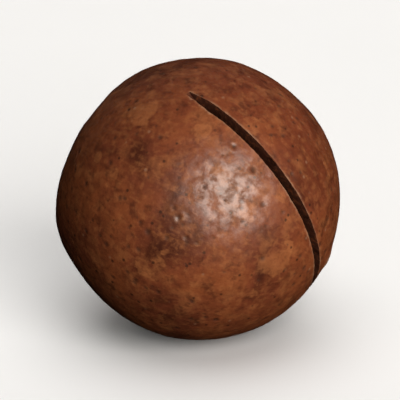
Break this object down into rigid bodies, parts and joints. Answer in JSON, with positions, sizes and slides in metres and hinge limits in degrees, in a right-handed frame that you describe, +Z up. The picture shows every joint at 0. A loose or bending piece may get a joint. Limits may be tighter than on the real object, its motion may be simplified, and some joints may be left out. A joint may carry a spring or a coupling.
{
  "type": "macadamia nut in shell",
  "caption": "Round woody macadamia shell with a narrow saw cut along its side, a flattened scar and a small pore opposite it, and a loose round kernel inside.",
  "frame": {"origin": "centre of the small flat spot that the nut rests on", "axes": "+Z up; +X to the right and -Y towards the viewer in the picture, so the saw cut faces +X and -Y"},
  "size_m": [0.0252, 0.0251, 0.0247],
  "materials": {
    "shell": "roasted brown woody shell, mottled, with a thin waxy sheen",
    "kernel": "cream nut meat, slightly oily"
  },
  "bodies": {
    "root": {"shell": "shell", "kernel": "kernel"}
  },
  "joints": []
}
